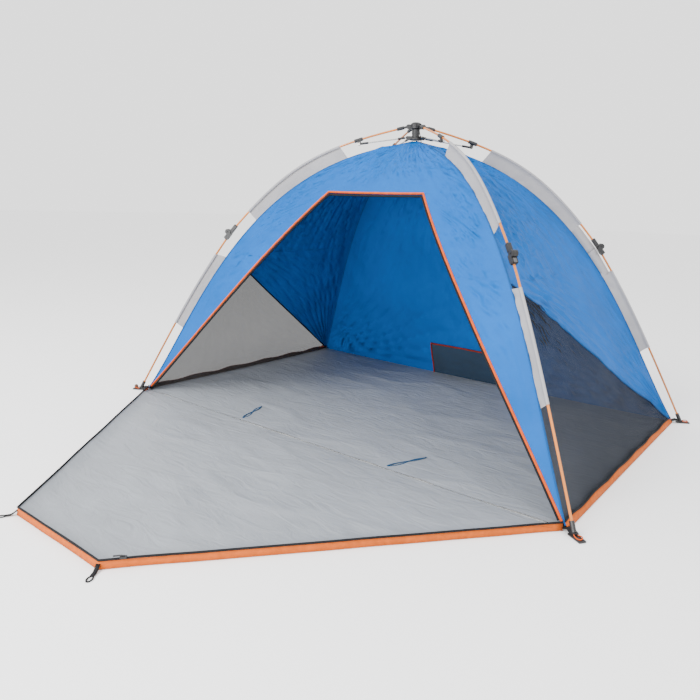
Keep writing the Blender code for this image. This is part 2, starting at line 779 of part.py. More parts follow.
def make_zip_slider(pivot):
    """The slider on the porch's right-hand zip: a shoe with a pull tab."""
    shoe = block((0.018, 0.011, 0.006), (0, 0, 0.0033), 0.0015)
    bridge = block((0.008, 0.004, 0.004), (0, 0, 0.0070), 0.0008)
    tab = block((0.022, 0.006, 0.0016), (-0.014, 0, 0.0086), 0.0004)
    slider = combine(shoe, [bridge, tab])
    slider.transform(Matrix.Translation((0, 0, RIM_TOP + GAP)))
    slider.transform(Matrix.Rotation(math.atan2(zip_direction().y, zip_direction().x), 4, "Z"))
    slider.transform(Matrix.Translation((0, 0, -pivot.location.z)))
    new_object("zip_slider", slider, "black_plastic", pivot)


def main():
    crown_pivots, knee_pivots, strut_pivots = {}, {}, {}
    runner = new_empty("runner_axis", at=(0, 0, RUNNER_PIVOT[1]))
    for leg, angle in LEGS.items():
        plane = new_empty(f"plane_{leg}", turn=angle)
        crown_pivots[leg] = new_empty(f"crown_axis_{leg}", plane, (CROWN_PIVOT[0], 0, CROWN_PIVOT[1]))
        knee_pivots[leg] = new_empty(f"knee_axis_{leg}", plane, (KNEE_PIVOT[0], 0, KNEE_PIVOT[1]))
        strut_pivots[leg] = new_empty(f"strut_axis_{leg}", plane, (RUNNER_PIVOT[0], 0, RUNNER_PIVOT[1]))
    make_crown_hub()
    make_runner_hub(runner)
    make_crown_levers(crown_pivots)
    make_poles(crown_pivots, knee_pivots)
    make_strut_brackets(crown_pivots)
    make_struts(strut_pivots)
    make_knees(crown_pivots, knee_pivots)
    make_feet(knee_pivots)
    make_sleeves(crown_pivots, knee_pivots)
    make_front_panel()
    make_back_panel()
    make_vent_window()
    make_side_panels()
    make_door_piping()
    make_floor_sheet()
    hinge = new_empty("porch_axis", at=PORCH_HINGE)
    make_porch(hinge)
    outer = porch_outline(RIM_INSET)
    start = Vector(outer[2]) + zip_direction() * ZIP_START
    make_zip_slider(new_empty("zip_axis", at=(start.x, start.y, SHEET)))


main()
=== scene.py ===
"""Looks of the beach shelter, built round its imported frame: camera, cloth, trim, finishes and studio.

Metres, +Z up, in the row frame. Each leg's own plane has x outward from the crown and z up.
"""

import math

import bmesh
import bpy
from mathutils import Matrix, Vector, noise


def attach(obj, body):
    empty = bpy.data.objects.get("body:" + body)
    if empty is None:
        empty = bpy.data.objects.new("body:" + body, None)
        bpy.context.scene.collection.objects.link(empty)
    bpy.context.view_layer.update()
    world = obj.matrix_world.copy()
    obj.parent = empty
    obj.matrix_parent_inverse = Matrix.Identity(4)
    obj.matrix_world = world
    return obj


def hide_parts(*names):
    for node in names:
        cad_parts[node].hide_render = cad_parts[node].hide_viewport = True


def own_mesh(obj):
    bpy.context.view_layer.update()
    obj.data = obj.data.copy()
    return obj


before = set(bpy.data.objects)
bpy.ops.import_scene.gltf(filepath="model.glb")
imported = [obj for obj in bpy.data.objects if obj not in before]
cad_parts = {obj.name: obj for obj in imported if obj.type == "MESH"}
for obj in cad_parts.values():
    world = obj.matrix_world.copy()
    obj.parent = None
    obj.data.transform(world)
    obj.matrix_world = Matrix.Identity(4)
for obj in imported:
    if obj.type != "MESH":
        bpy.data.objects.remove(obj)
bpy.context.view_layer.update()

# Camera: where it stands, how it is turned, and its lens on a 36 mm sensor
CAMERA_PLACE = (1.5931, -2.4559, 0.9194)
CAMERA_YAW = 37.93
CAMERA_PITCH_DOWN = 12.69
CAMERA_ROLL = 2.04
CAMERA_LENS = 32.67

# The shelter's driving dimensions
BASE_WIDTH = 2.10
BASE_DEPTH = 1.36
PORCH_DEPTH = 1.02
PORCH_FRONT_WIDTH = 0.44
DOOR_TOP_WIDTH = 0.48
DOOR_TOP_HEIGHT = 0.984
TIER_HEIGHT = 0.69
WINDOW_WIDTH = 0.43
WINDOW_HEIGHT = 0.185
POLE_RADIUS = 0.0043
CORNER_RADIUS = math.hypot(BASE_WIDTH, BASE_DEPTH) / 2
ALONG_X = BASE_WIDTH / 2 / CORNER_RADIUS
ALONG_Y = BASE_DEPTH / 2 / CORNER_RADIUS
SILL = -BASE_DEPTH / 2
PORCH_FRONT = SILL - PORCH_DEPTH
FLOOR_LEVEL = 0.0025
FLOOR_HEM = 0.0006

LEG_ANGLE = math.atan2(BASE_DEPTH, BASE_WIDTH)
LEGS = {
    "front_right": -LEG_ANGLE,
    "back_right": LEG_ANGLE,
    "back_left": math.pi - LEG_ANGLE,
    "front_left": math.pi + LEG_ANGLE,
}

# Curves in a leg's plane, (outward, up): the poles' axes and the canopy's corner seam
KNEE = (0.826, 0.786)
UPPER_CURVE = ((0.034, 1.269), (0.426, 1.170), (0.569, 1.090), KNEE)
LOWER_CURVE = (KNEE, (0.972, 0.581), (1.074, 0.406), (1.285, 0.012))
SEAM_CURVE = ((0.0, 1.200), (0.766, 1.116), (0.996, 0.382), (CORNER_RADIUS, 0.0045))

# Where the sleeves begin and end, outward
UPPER_SLEEVE = (0.332, 0.742)
LOWER_SLEEVE = (0.898, 1.102)

# A strut's pivots in its leg's plane, and how far beside the plane it lies
RUNNER_PIVOT = (0.036, 1.222)
BRACKET_PIVOT = (0.245, 1.190)
STRUT_SIDE = 0.0135

# Trim sizes
PIPING_RADIUS = 0.0046
ZIP_RADIUS = 0.0042
ZIP_INSET = 0.011
PORCH_ZIP_RADIUS = 0.0032
SEAM_RADIUS = 0.0032
DIAGONAL_RADIUS = 0.0035
WINDOW_TRIM_RADIUS = 0.0045
BASE_LINE_RADIUS = 0.0038
BAND_HEIGHT = 0.020
BAND_LEAN = 0.010
SLEEVE_WRAP = POLE_RADIUS + 0.0014
SLEEVE_CLEARANCE = 0.0115
CORNER_WEBBING = 0.028
ELASTIC_RADIUS = 0.0018
BALL_RADIUS = 0.009
STRUT_END_RADIUS = 0.0047
PEG_WEBBING = 0.012

# The sideways direction, which a strap takes across where its route runs straight up
SIDEWAYS = (1, 0, 0)


def add_camera():
    camera = bpy.data.objects.new("camera", bpy.data.cameras.new("camera"))
    bpy.context.scene.collection.objects.link(camera)
    camera.data.lens = CAMERA_LENS
    camera.data.sensor_width = 36
    yaw = Matrix.Rotation(math.radians(CAMERA_YAW), 4, "Z")
    pitch = Matrix.Rotation(math.radians(90 - CAMERA_PITCH_DOWN), 4, "X")
    roll = Matrix.Rotation(math.radians(CAMERA_ROLL), 4, "Z")
    camera.matrix_world = Matrix.Translation(CAMERA_PLACE) @ yaw @ pitch @ roll
    bpy.context.scene.camera = camera


add_camera()


# Finishes


class Finish:
    """A Principled material under construction."""

    def __init__(self, name, colour, roughness, **constants):
        self.material = bpy.data.materials.new(name)
        self.material.use_nodes = True
        self.nodes = self.material.node_tree.nodes
        self.shader = self.nodes["Principled BSDF"]
        self.place = self.nodes.new("ShaderNodeTexCoord").outputs["Object"]
        self.set("Base Color", (*colour, 1))
        self.set("Roughness", roughness)
        for socket, value in constants.items():
            self.set(socket.replace("_", " "), value)
        self.colour = colour
        self.relief = None

    def set(self, socket, value):
        self.shader.inputs[socket].default_value = value

    def join(self, source, target):
        self.material.node_tree.links.new(source, target)

    def noise(self, scale, detail=3.0, stretch=(1, 1, 1), distortion=0.0):
        """The value of a noise pattern, stretched along the axes."""
        mapping = self.nodes.new("ShaderNodeMapping")
        mapping.inputs["Scale"].default_value = stretch
        pattern = self.nodes.new("ShaderNodeTexNoise")
        pattern.inputs["Scale"].default_value = scale
        pattern.inputs["Detail"].default_value = detail
        pattern.inputs["Distortion"].default_value = distortion
        self.join(self.place, mapping.inputs["Vector"])
        self.join(mapping.outputs["Vector"], pattern.inputs["Vector"])
        return pattern.outputs["Fac"]

    def waves(self, scale, direction):
        """The value of straight ribs across an axis."""
        pattern = self.nodes.new("ShaderNodeTexWave")
        pattern.bands_direction = direction
        pattern.inputs["Scale"].default_value = scale
        pattern.inputs["Distortion"].default_value = 0.6
        pattern.inputs["Detail"].default_value = 1.0
        self.join(self.place, pattern.inputs["Vector"])
        return pattern.outputs["Fac"]

    def vary(self, factor, darker, lighter, low=0.3, high=0.7):
        """Base colour between two shades of its own, by the factor."""
        ramp = self.nodes.new("ShaderNodeValToRGB")
        first, last = ramp.color_ramp.elements
        first.position = low
        last.position = high
        first.color = (*(c * darker for c in self.colour), 1)
        last.color = (*(min(1, c * lighter) for c in self.colour), 1)
        self.join(factor, ramp.inputs["Fac"])
        self.join(ramp.outputs["Color"], self.shader.inputs["Base Color"])

    def bump(self, factor, strength, distance):
        """One more layer of relief on top of those before."""
        layer = self.nodes.new("ShaderNodeBump")
        layer.inputs["Strength"].default_value = strength
        layer.inputs["Distance"].default_value = distance
        self.join(factor, layer.inputs["Height"])
        if self.relief:
            self.join(self.relief, layer.inputs["Normal"])
        self.relief = layer.outputs["Normal"]
        self.join(self.relief, self.shader.inputs["Normal"])


def canopy_cloth(name, colour):
    finish = Finish(name, colour, 0.55, Specular_IOR_Level=0.07)
    finish.vary(finish.noise(5, 4), 0.92, 1.08)
    finish.bump(finish.noise(7, 4, distortion=1.6), 0.40, 0.012)
    finish.bump(finish.noise(30, 3, distortion=0.8), 0.20, 0.002)
    for direction in ("X", "Z"):
        finish.bump(finish.waves(260, direction), 0.06, 0.0002)
    return finish.material


def sheet_cloth(name, colour, roughness):
    finish = Finish(name, colour, roughness, Specular_IOR_Level=0.4)
    finish.vary(finish.noise(4, 6, distortion=0.6), 0.93, 1.05)
    finish.bump(finish.noise(8, 6, (1, 2.6, 1), 1.2), 0.50, 0.010)
    finish.bump(finish.noise(50, 3, (1, 1.8, 1)), 0.25, 0.0015)
    for direction in ("X", "Y"):
        finish.bump(finish.waves(240, direction), 0.08, 0.0003)
    return finish.material


def tape(name, colour, roughness=0.75):
    finish = Finish(name, colour, roughness, Specular_IOR_Level=0.2)
    finish.vary(finish.noise(60, 3), 0.85, 1.1)
    finish.bump(finish.noise(420, 2), 0.35, 0.0004)
    return finish.material


def netting(name, colour, alpha):
    finish = Finish(name, colour, 0.85, Specular_IOR_Level=0.15, Alpha=alpha)
    finish.vary(finish.noise(6, 4), 0.85, 1.15)
    finish.bump(finish.noise(300, 1), 0.3, 0.0004)
    return finish.material


def moulded(name, colour, roughness=0.42):
    finish = Finish(name, colour, roughness)
    finish.vary(finish.noise(40, 3), 0.85, 1.25)
    finish.bump(finish.noise(900, 2), 0.15, 0.0002)
    return finish.material


def pole_paint(name, colour):
    finish = Finish(name, colour, 0.3, Coat_Weight=0.35, Coat_Roughness=0.15)
    finish.vary(finish.noise(3, 2), 0.75, 1.2)
    finish.bump(finish.noise(300, 2, (1, 1, 0.1)), 0.08, 0.0002)
    return finish.material


def metal(name, colour, roughness):
    finish = Finish(name, colour, roughness, Metallic=0.9)
    finish.bump(finish.noise(600, 2), 0.08, 0.0001)
    return finish.material


BLUE = canopy_cloth("canopy_cloth", (0.002, 0.092, 0.345))
SLEEVE = canopy_cloth("sleeve_cloth", (0.29, 0.285, 0.295))
GROUND = sheet_cloth("ground_sheet", (0.235, 0.252, 0.275), 0.50)
NET = netting("mesh", (0.020, 0.023, 0.030), 0.80)
# A copy of the same netting for the left wall, painted lighter and more opaque: painted light, for how it
# looks lit from behind.
NET_PAINTED_LIGHTER = netting("mesh_lit", (0.050, 0.049, 0.047), 0.89)
# The window's netting, near-opaque and dark blue: painted shade of the dim inside seen through it.
WINDOW_NET_PAINTED_SHADE = netting("window_mesh", (0.002, 0.020, 0.048), 0.985)
ORANGE = tape("orange_tape", (0.50, 0.070, 0.005))
ORANGE_BAND = tape("orange_band", (0.46, 0.090, 0.007))
RED = tape("red_tape", (0.20, 0.018, 0.009))
BLACK_TAPE = tape("black_tape", (0.007, 0.007, 0.008))
SEAM = tape("blue_seam", (0.002, 0.060, 0.21))
TIE = tape("blue_tie", (0.010, 0.055, 0.13))
BLACK = moulded("black_plastic", (0.007, 0.007, 0.008))
GREY = moulded("grey_plastic", (0.06, 0.06, 0.063))
BROWN = moulded("ball_end", (0.07, 0.022, 0.006), 0.35)
POLE = pole_paint("pole", (0.50, 0.145, 0.006))
STEEL = metal("strut_metal", (0.45, 0.44, 0.41), 0.3)


# Curves


def bezier(points, t):
    weights = ((1 - t) ** 3, 3 * (1 - t) ** 2 * t, 3 * (1 - t) * t**2, t**3)
    return tuple(sum(w * p[k] for w, p in zip(weights, points)) for k in (0, 1))


def slope_of(points, t):
    before = bezier(points, t - 0.001)
    after = bezier(points, t + 0.001)
    return Vector((after[0] - before[0], after[1] - before[1])).normalized()


def parameter_at(points, axis, value):
    """Where the curve reaches that outward (axis 0) or upward (axis 1) value, by halving."""
    low, high = 0.0, 1.0
    rising = bezier(points, 1)[axis] > bezier(points, 0)[axis]
    for _ in range(30):
        middle = (low + high) / 2
        if (bezier(points, middle)[axis] < value) == rising:
            low = middle
        else:
            high = middle
    return (low + high) / 2


def spread(low, high, count):
    return [low + (high - low) * k / count for k in range(count + 1)]


def in_leg(leg, outward, up, aside=0.0):
    """A point of a leg's plane, or aside of it, in the row frame."""
    angle = LEGS[leg]
    return Vector(
        (
            outward * math.cos(angle) - aside * math.sin(angle),
            outward * math.sin(angle) + aside * math.cos(angle),
            up,
        )
    )


# Canopy surface

T_TOP = 0.004
T_TIER = parameter_at(SEAM_CURVE, 1, TIER_HEIGHT)
T_DOOR = parameter_at(SEAM_CURVE, 1, DOOR_TOP_HEIGHT)
T_WINDOW = parameter_at(SEAM_CURVE, 1, WINDOW_HEIGHT)
T_BASE = 1.0
PEAK_RISE = 0.010
SAG = 0.012
FOLD_DEPTH = 2.5
TUCK = 0.0010
TUCK_REACH = 0.004

# Where each panel is pulled tight, (along the panel, up), how many folds run out from there, and how deep
PULLS = {
    "front": (
        (-0.62, 0.78, 36, 0.0075),
        (0.62, 0.78, 36, 0.0075),
        (0.24, 0.98, 30, 0.0050),
        (-0.24, 0.98, 30, 0.0050),
        (0.0, 1.22, 24, 0.0060),
    ),
    "back": ((-1.05, 0.0, 32, 0.0095), (1.05, 0.0, 32, 0.0095), (0.0, 1.22, 26, 0.0090)),
    "left": ((-0.38, 0.72, 30, 0.0070), (0.68, 0.0, 36, 0.0070), (0.0, 1.22, 24, 0.0055)),
    "right": ((-0.38, 0.72, 30, 0.0070), (0.68, 0.0, 36, 0.0065), (0.0, 1.22, 24, 0.0060)),
}
OUTWARD = {"front": (0, -1, 0), "back": (0, 1, 0), "left": (-1, 0, 0), "right": (1, 0, 0)}


def half_width(side, t):
    """Half the level width of a panel at t."""
    return bezier(SEAM_CURVE, t)[0] * (ALONG_X if side in ("back", "front") else ALONG_Y)


def hem_share(side, along, height):
    """How freely a panel folds: hardly at the doorway's stiff hem, and fully a hand's width away from it."""
    if side != "front":
        return 1.0
    aside = abs(along) - door_half_width(min(height, DOOR_TOP_HEIGHT))
    return 0.15 + 0.85 * min(1, max(0, aside, height - DOOR_TOP_HEIGHT) / 0.08)


def folds(side, along, height):
    """How far folds lift the cloth off its smooth shape: those of the strongest pull, and some slack."""
    lift = 0.0
    for centre, level, count, depth in PULLS[side]:
        away_along = along - centre
        away_up = height - level
        reach = math.hypot(away_along, away_up)
        fade = min(1, reach / 0.12) * math.exp(-reach / 0.55)
        bend = 1.2 * noise.noise((along * 2, height * 2, centre))
        wave = math.sin(count * math.atan2(away_up, away_along) + 3 * bend)
        lift = max(lift, FOLD_DEPTH * depth * fade * (1 - abs(wave)) ** 2)
    lift += 0.0050 * noise.noise((along * 5, height * 5, len(side) * 3.7))
    lift += 0.0030 * noise.noise((along * 22 + height * 12, height * 6, len(side) * 1.3))
    return lift * hem_share(side, along, height)


def canopy_point(side, across, t, lift=0.0):
    """A point of a panel: across from -1 to 1 between its corner seams, t down the seam, lifted outwards."""
    radius, height = bezier(SEAM_CURVE, t)
    height += PEAK_RISE * math.exp(-radius / 0.05)
    width = half_width(side, t)
    middle = 1 - across**2
    slack = min(1, 6 * middle) * min(1, radius / 0.15) * min(1, height / 0.05)
    rise = slack * folds(side, across * width, height) - SAG * middle * min(1, radius / 0.3) + lift
    x, y = ALONG_X * radius, ALONG_Y * radius
    base = {
        "back": (across * x, y, height),
        "front": (across * x, -y, height),
        "right": (x, across * y, height),
        "left": (-x, across * y, height),
    }[side]
    slope = slope_of(SEAM_CURVE, min(max(t, 0.002), 0.998))
    flat = ALONG_Y if side in ("back", "front") else ALONG_X
    outward = Vector(OUTWARD[side]) * -slope.y + Vector((0, 0, 1)) * slope.x * flat
    return Vector(base) + outward.normalized() * rise


def canopy_normal(side, across, t):
    step = 0.004
    low_t, high_t = max(t - step, 0.001), min(t + step, 1.0)
    low_a, high_a = max(across - step * 3, -1), min(across + step * 3, 1)
    down = canopy_point(side, across, high_t) - canopy_point(side, across, low_t)
    along = canopy_point(side, high_a, t) - canopy_point(side, low_a, t)
    normal = down.cross(along).normalized()
    return normal if normal.dot(Vector(OUTWARD[side]) + Vector((0, 0, 0.5))) > 0 else -normal


def mesh_object(name, points, faces, material):
    mesh = bpy.data.meshes.new(name)
    mesh.from_pydata([tuple(p) for p in points], [], faces)
    mesh.materials.append(material)
    mesh.shade_smooth()
    obj = bpy.data.objects.new(name, mesh)
    bpy.context.scene.collection.objects.link(obj)
    return obj


def grid_faces(rows, columns):
    """Quads of a grid of points in rows."""
    return [
        (i * columns + j, i * columns + j + 1, (i + 1) * columns + j + 1, (i + 1) * columns + j)
        for i in range(rows - 1)
        for j in range(columns - 1)
    ]


def gather(obj, side, leg, tier):
    """Cloth rides its leg's upper or lower half."""
    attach(obj, f"{tier}_{leg}")
    first, last = (T_TOP, T_TIER) if tier == "upper" else (T_TIER, T_BASE)
    end = 1 if leg.startswith("back") else -1
    if side in ("front", "back"):
        end = 1 if leg.endswith("right") else -1
    start = canopy_point(side, end, first)
    stop = canopy_point(side, end, last)
    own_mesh(obj)


def cloth_piece(name, side, leg, tier, span, limits, counts, material, node):
    """A piece of a canopy panel, between two values of t and two limits across, each a function of t.

    Its top edge is tucked just under the piece above.
    """
    points, normals = [], []
    levels = [(t, 0.0) for t in spread(*span, counts[0])]
    if span[0] > T_TOP:
        levels.insert(0, (span[0] - TUCK_REACH, -TUCK))
    rows, columns = len(levels), counts[1] + 1
    for t, lift in levels:
        for across in spread(limits[0](t), limits[1](t), counts[1]):
            points.append(canopy_point(side, across, t, lift))
            normals.append(canopy_normal(side, across, t))
    obj = mesh_object(name, points, grid_faces(rows, columns), material)
    if obj.data.polygons[0].normal.dot(normals[0]) < 0:
        obj.data.flip_normals()
    obj.data.normals_split_custom_set_from_vertices([tuple(n) for n in normals])
    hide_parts(node)
    gather(obj, side, leg, tier)


def constant(value):
    return lambda t: value


def door_half_width(height):
    share = (DOOR_TOP_HEIGHT - height) / DOOR_TOP_HEIGHT
    return DOOR_TOP_WIDTH / 2 + share * (BASE_WIDTH - DOOR_TOP_WIDTH) / 2


def door_across(t):
    """How far across the front panel the doorway's edge runs at t."""
    return min(door_half_width(bezier(SEAM_CURVE, t)[1]) / half_width("front", t), 0.999)


def window_across(t):
    return WINDOW_WIDTH / 2 / half_width("back", t)


def diagonal_across(t):
    """Where a side's seam between cloth and netting runs, straight from the front seam to the back corner."""
    height = bezier(SEAM_CURVE, t)[1]
    front = -half_width("right", T_TIER)
    back = half_width("right", 1)
    share = (TIER_HEIGHT - height) / (TIER_HEIGHT - bezier(SEAM_CURVE, 1)[1])
    return min(max((front + share * (back - front)) / half_width("right", t), -1), 1)


def mirrored(function, sign):
    """The same limit on the hand of that sign."""
    return lambda t: sign * function(t)


def canopy_pieces(hand, sign):
    """The canopy's pieces on one hand.

    Each is a name, a panel, a leg and which half of its pole, a span of t, two limits across, how many rows
    and columns, a cloth, and the node that it stands for.
    """
    middle, seam = constant(0.0), constant(float(sign))
    foremost, rearmost = constant(-1.0), constant(1.0)
    door, window = mirrored(door_across, sign), mirrored(window_across, sign)
    front, back = f"front_{hand}", f"back_{hand}"
    wall, mesh = f"{hand}_wall", f"{hand}_mesh"
    # The left wall takes the netting painted lighter, as painted light.
    net = NET if sign > 0 else NET_PAINTED_LIGHTER
    high = (T_TOP, T_TIER)
    low = (T_WINDOW, T_BASE)
    over_door, beside_door = (T_TOP, T_DOOR), (T_DOOR, T_TIER)
    netted = (T_TIER + 0.002, T_BASE)
    return (
        ("back_top", "back", back, "upper", high, (middle, seam), (44, 34), BLUE, "back_panel"),
        ("back_low", "back", back, "lower", (T_TIER, T_WINDOW), (middle, seam), (20, 40), BLUE, "back_panel"),
        ("back_hem", "back", back, "lower", low, (window, seam), (8, 34), BLUE, "back_panel"),
        # The window's netting carries painted shade of the inside behind it.
        ("window", "back", back, "lower", low, (middle, window), (8, 8), WINDOW_NET_PAINTED_SHADE, "vent_window"),
        ("front_top", "front", front, "upper", over_door, (middle, seam), (30, 30), BLUE, "front_panel"),
        ("front_side", "front", front, "upper", beside_door, (door, seam), (24, 18), BLUE, "front_panel"),
        ("front_foot", "front", front, "lower", (T_TIER, 0.985), (door, seam), (40, 10), BLUE, "front_panel"),
        ("wall_front", hand, front, "upper", high, (foremost, middle), (44, 24), BLUE, wall),
        ("wall_back", hand, back, "upper", high, (middle, rearmost), (44, 24), BLUE, wall),
        ("wall_low", hand, back, "lower", (T_TIER, 0.99), (diagonal_across, rearmost), (34, 34), BLUE, wall),
        ("net", hand, front, "lower", netted, (foremost, diagonal_across), (34, 34), net, mesh),
    )


def make_canopy():
    for hand, sign in (("right", 1), ("left", -1)):
        for kind, *details in canopy_pieces(hand, sign):
            cloth_piece(f"{kind}_{hand}", *details)


# Trim


def tube(name, points, radius, material, sides=6):
    """A round cord or bead along points, as a mesh with closed ends."""
    curve = bpy.data.curves.new(name, "CURVE")
    curve.dimensions = "3D"
    curve.bevel_depth = radius
    curve.bevel_resolution = max(1, sides // 4)
    curve.use_fill_caps = True
    spline = curve.splines.new("POLY")
    spline.points.add(len(points) - 1)
    for point, at in zip(spline.points, points):
        point.co = (*at, 1)
    drawn = bpy.data.objects.new(name, curve)
    bpy.context.scene.collection.objects.link(drawn)
    bpy.context.view_layer.update()
    mesh = bpy.data.meshes.new_from_object(drawn.evaluated_get(bpy.context.evaluated_depsgraph_get()))
    bpy.data.objects.remove(drawn)
    mesh.name = name
    mesh.materials.clear()
    mesh.materials.append(material)
    mesh.shade_smooth()
    obj = bpy.data.objects.new(name, mesh)
    bpy.context.scene.collection.objects.link(obj)
    return obj


def ribbon(name, first, second, material, thickness=0.0008):
    """A flat tape between two lines of points, thickened."""
    points = [p for pair in zip(first, second) for p in pair]
    obj = mesh_object(name, points, grid_faces(len(first), 2), material)
    shell = obj.modifiers.new("shell", "SOLIDIFY")
    shell.thickness = thickness
    shell.offset = 0
    return applied(obj)


def applied(obj):
    """The object with its modifiers made part of its mesh."""
    bpy.context.view_layer.update()
    mesh = bpy.data.meshes.new_from_object(obj.evaluated_get(bpy.context.evaluated_depsgraph_get()))
    obj.modifiers.clear()
    obj.data = mesh
    return obj


def door_lines(sign, tier, span):
    """The doorway's edge and the zip line inside it, down one side.

    The upper ones start at the middle of the doorway's top.
    """
    edge, inner = [], []
    for t in spread(*span, 26):
        across = door_across(t)
        edge.append(canopy_point("front", sign * across, t, 0.001))
        inside = across - ZIP_INSET / half_width("front", t)
        inner.append(canopy_point("front", sign * inside, t, -0.003))
    if tier == "upper":
        corner = door_across(T_DOOR)
        inner_corner = corner - ZIP_INSET / half_width("front", T_DOOR)
        inner_t = T_DOOR + 0.008
        edge = [canopy_point("front", sign * a, T_DOOR, 0.001) for a in spread(0, corner, 10)] + edge[1:]
        top = [canopy_point("front", sign * a, inner_t, -0.003) for a in spread(0, inner_corner, 10)]
        inner = top + inner[2:]
    return edge, inner


def make_door_trim():
    """Orange piping on the doorway's edge and a black zip line inside it, riding the front legs."""
    for hand, sign in (("right", 1), ("left", -1)):
        for tier, span in (("upper", (T_DOOR, T_TIER)), ("lower", (T_TIER, 0.985))):
            edge, inner = door_lines(sign, tier, span)
            piping = tube(f"door_piping_{tier}_{hand}", edge, PIPING_RADIUS, ORANGE, 8)
            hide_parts("door_piping")
            gather(piping, "front", f"front_{hand}", tier)
            teeth = tube(f"door_zip_{tier}_{hand}", inner, ZIP_RADIUS, BLACK_TAPE, 8)
            gather(teeth, "front", f"front_{hand}", tier)


def make_seams():
    """Beads along the corner seams and the diagonal seams, black inside the left wall."""
    for leg in LEGS:
        side = "front" if leg.startswith("front") else "back"
        end = 1 if leg.endswith("right") else -1
        for tier, span in (("upper", (T_TOP, T_TIER)), ("lower", (T_TIER, 0.992))):
            line = [canopy_point(side, end, t) for t in spread(*span, 26)]
            obj = tube(f"seam_{tier}_{leg}", line, SEAM_RADIUS, SEAM)
            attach(obj, f"{tier}_{leg}")
    for hand in ("right", "left"):
        lift = 0.002 if hand == "right" else -0.002
        line = [canopy_point(hand, diagonal_across(t), t, lift) for t in spread(T_TIER + 0.004, 0.99, 30)]
        colour = SEAM if hand == "right" else BLACK_TAPE
        obj = tube(f"diagonal_seam_{hand}", line, DIAGONAL_RADIUS, colour)
        gather(obj, hand, f"back_{hand}", "lower")


def make_window_trim():
    """Red piping inside the window's edge, up each side and along the top."""
    corner = window_across(T_WINDOW)
    for hand, sign in (("right", 1), ("left", -1)):
        edge = [canopy_point("back", sign * window_across(t), t, -0.003) for t in spread(T_BASE, T_WINDOW, 8)]
        top = [canopy_point("back", sign * a, T_WINDOW, -0.003) for a in spread(corner, 0, 8)]
        obj = tube(f"window_trim_{hand}", edge + top[1:], WINDOW_TRIM_RADIUS, RED)
        gather(obj, "back", f"back_{hand}", "lower")


def make_base_bands():
    """Orange tape at the netting's foot, with a line inside it, black on the right and red on the left."""
    for hand, sign in (("right", 1), ("left", -1)):
        outer = [Vector((sign * (BASE_WIDTH / 2 + 0.004), y, 0.002)) for y in spread(-0.675, 0.675, 40)]
        upper = []
        for k, point in enumerate(outer):
            wave = 0.003 * math.sin(k * 0.9) + 0.004 * noise.noise((k * 0.35, sign, 0))
            upper.append(point + Vector((-sign * BAND_LEAN, 0, BAND_HEIGHT + wave)))
        band = ribbon(f"base_band_{hand}", outer, upper, ORANGE_BAND, 0.0012)
        inner = [p + Vector((-sign * 0.003, 0, 0.002)) for p in upper]
        colour = BLACK_TAPE if hand == "right" else RED
        line = tube(f"base_line_{hand}", inner, BASE_LINE_RADIUS, colour)
        for obj in (band, line):
            gather(obj, hand, f"front_{hand}", "lower")


def sleeve_profile(reach):
    """A sleeve's cross-section, (outward from the pole's axis, aside): flat, then round the pole."""
    flat = [(-reach * k / 6, 0.0) for k in range(6, 1, -1)]
    angles = [math.radians(degrees) for degrees in range(-165, 166, 33)]
    return flat + [(SLEEVE_WRAP * math.cos(a), SLEEVE_WRAP * math.sin(a)) for a in angles]


def make_sleeves():
    """Pale cloth sleeves: each wraps its pole and runs flat to the canopy's corner seam."""
    for tier, curve, span in (("upper", UPPER_CURVE, UPPER_SLEEVE), ("lower", LOWER_CURVE, LOWER_SLEEVE)):
        for leg in LEGS:
            points = []
            count = 48
            first, last = (parameter_at(curve, 0, outward) for outward in span)
            for k, t in enumerate(spread(first, last, count)):
                at = Vector(bezier(curve, t))
                along = slope_of(curve, t)
                out = Vector((-along.y, along.x))
                seam = nearest_seam(at, out)
                lean = 0.022 * (1 - k / count) - 0.004
                for outward, aside in sleeve_profile(seam):
                    share = min(1, max(0, -outward / seam))
                    ripple = 0.0044 * share * noise.noise((t * 30, share * 2, LEGS[leg]))
                    point = at + out * outward - along * share * lean
                    points.append(in_leg(leg, point.x, point.y, aside + ripple))
            columns = len(sleeve_profile(0.05))
            obj = mesh_object(f"{tier}_sleeve_{leg}_cloth", points, grid_faces(count + 1, columns), SLEEVE)
            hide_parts(f"{tier}_sleeve_{leg}")
            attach(obj, f"{tier}_{leg}")


def make_sleeve_bridges():
    """On the back legs the sleeve's cloth runs on behind the knee, clear of the pole."""
    overlap = 0.002
    above = (
        parameter_at(UPPER_CURVE, 0, UPPER_SLEEVE[1] - overlap),
        parameter_at(UPPER_CURVE, 0, KNEE[0] - 0.0001),
    )
    below = (0.0, parameter_at(LOWER_CURVE, 0, LOWER_SLEEVE[0] + overlap))
    for leg in ("back_right", "back_left"):
        for tier, curve, span in (("upper", UPPER_CURVE, above), ("lower", LOWER_CURVE, below)):
            outer, inner = [], []
            for t in spread(*span, 12):
                at = Vector(bezier(curve, t))
                along = slope_of(curve, min(max(t, 0.002), 0.998))
                out = Vector((-along.y, along.x))
                for line, reach in ((outer, SLEEVE_CLEARANCE), (inner, nearest_seam(at, out))):
                    point = at - out * reach
                    line.append(in_leg(leg, point.x, point.y, 0))
            obj = ribbon(f"sleeve_bridge_{tier}_{leg}", outer, inner, SLEEVE, 0.0010)
            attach(obj, f"{tier}_{leg}")


def nearest_seam(at, out):
    """How far in from the pole's axis the seam runs, straight across from it."""
    low, high = 0.0, 0.2
    for _ in range(24):
        middle = (low + high) / 2
        point = at - out * middle
        height = bezier(SEAM_CURVE, parameter_at(SEAM_CURVE, 0, point.x))[1]
        if point.y > height:
            low = middle
        else:
            high = middle
    return low


def flatten(obj, body="canopy"):
    """A ground piece rides its body."""
    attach(obj, body)
    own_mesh(obj)


